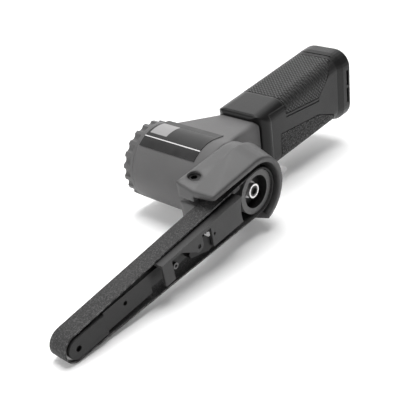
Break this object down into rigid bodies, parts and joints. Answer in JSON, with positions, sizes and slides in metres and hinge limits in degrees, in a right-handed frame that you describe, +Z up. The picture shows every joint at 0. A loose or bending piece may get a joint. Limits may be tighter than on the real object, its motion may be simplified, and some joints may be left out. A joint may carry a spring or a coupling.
{
  "type": "air powered belt file",
  "caption": "Hand held air powered belt file: a vane motor set across a black grip drives a narrow abrasive belt round a slim swivelling arm with a spring loaded idler and a trigger throttle.",
  "frame": {"origin": "On the ground, under the middle of the tool's bounding box, with the tool lying on the tip of its arm and on its trigger.", "axes": "X runs from the handle to the tip of the arm, Y along the motor towards the drive pulley, Z up."},
  "size_m": [0.279, 0.0832, 0.0656],
  "materials": {
    "grey_enamel": "cast light alloy under satin grey enamel",
    "label_dark": "plain charcoal film with a pale rule",
    "black_plastic": "moulded black plastic",
    "grip_rubber": "soft textured grip",
    "seal_rubber": "sealing ring",
    "abrasive": "cloth backed abrasive grain",
    "arm_steel": "grey coated pressed steel",
    "dark_steel": "blackened steel",
    "pulley_steel": "turned steel, dulled",
    "bright_steel": "ground bright steel",
    "vane_fibre": "bonded fibre",
    "brass": "turned brass",
    "felt": "porous felt",
    "light_plastic": "light grey moulded plastic"
  },
  "bodies": {
    "housing": {"motor_housing": "grey_enamel", "end_cap": "grey_enamel", "cap_seal": "seal_rubber", "label_plate": "label_dark", "cylinder_liner": "bright_steel", "front_plate": "bright_steel", "rear_plate": "bright_steel", "front_bearing": "bright_steel", "rear_bearing": "bright_steel", "thumb_rest": "black_plastic", "handle_sleeve": "black_plastic", "top_grip_pad": "grip_rubber", "left_grip_pad": "grip_rubber", "right_grip_pad": "grip_rubber", "tail_cap": "black_plastic", "exhaust_silencer": "felt", "air_inlet_bush": "bright_steel", "trigger_pin": "bright_steel", "valve_bush": "brass", "valve_spring": "bright_steel"},
    "drive": {"rotor": "bright_steel", "vanes": "vane_fibre", "drive_pulley": "pulley_steel", "pulley_washer": "bright_steel", "pulley_screw": "pulley_steel"},
    "arm": {"guard": "grey_enamel", "clamp_screw": "dark_steel", "arm_bracket": "arm_steel", "arm_screws": "dark_steel", "backing_shoe": "dark_steel", "abrasive_belt": "abrasive", "lever_pin": "dark_steel", "tension_spring": "bright_steel"},
    "tension_slide": {"slide_arm": "arm_steel"},
    "idler_fork": {"idler_fork": "arm_steel", "fork_pin": "bright_steel", "idler_axle": "bright_steel"},
    "idler": {"idler_roller": "pulley_steel", "idler_bearings": "bright_steel"},
    "release_lever": {"release_lever": "dark_steel"},
    "tracking_screw": {"tracking_screw": "bright_steel"},
    "trigger": {"trigger": "light_plastic"},
    "throttle_valve": {"valve_stem": "bright_steel"}
  },
  "joints": [
    {"name": "drive_spin", "type": "hinge", "parent": "housing", "child": "drive", "pos_m": [0.00195, 0.0374, 0.02798], "axis": [0, 1, 0], "continuous": true},
    {"name": "arm_swivel", "type": "hinge", "parent": "housing", "child": "arm", "pos_m": [0.00195, 0.0374, 0.02798], "axis": [0, 1, 0], "range_deg": [-90, 60]},
    {"name": "tension_slide", "type": "slide", "parent": "arm", "child": "tension_slide", "axis": [0.9877, 0, -0.1564], "range_m": [-0.005, 0], "stiffness_N_per_m": 2000, "springref_m": 0.01, "deforming": ["tension_spring"]},
    {"name": "tracking_tilt", "type": "hinge", "parent": "tension_slide", "child": "idler_fork", "pos_m": [0.11856, 0.03275, 0.00951], "axis": [0.1564, 0, 0.9877], "range_deg": [-1.5, 1.5]},
    {"name": "idler_spin", "type": "hinge", "parent": "idler_fork", "child": "idler", "pos_m": [0.13219, 0.0324, 0.00735], "axis": [0, 1, 0], "continuous": true},
    {"name": "release_lever", "type": "hinge", "parent": "arm", "child": "release_lever", "pos_m": [0.05485, 0.0374, 0.02193], "axis": [0, 1, 0], "range_deg": [0, 30]},
    {"name": "tracking_screw", "type": "hinge", "parent": "tension_slide", "child": "tracking_screw", "pos_m": [0.06729, 0.03525, 0.0154], "axis": [0, 1, 0], "range_deg": [-31, 31]},
    {"name": "trigger", "type": "hinge", "parent": "housing", "child": "trigger", "pos_m": [-0.03407, -0.00758, 0.00905], "axis": [0, 1, 0], "range_deg": [0, 7], "stiffness_Nm_per_rad": 0.8, "springref_deg": -45.84},
    {"name": "valve_lift", "type": "slide", "parent": "housing", "child": "throttle_valve", "axis": [0.0976, 0, 0.9952], "range_m": [0, 0.003], "deforming": ["valve_spring"]}
  ],
  "couplings": [
    {"joint": "idler_spin", "follows": "drive_spin", "ratio": 2},
    {"joint": "release_lever", "follows": "tension_slide", "rad_per_m": -104},
    {"joint": "tracking_screw", "follows": "tracking_tilt", "ratio": 20},
    {"joint": "valve_lift", "follows": "trigger", "m_per_rad": 0.024}
  ]
}
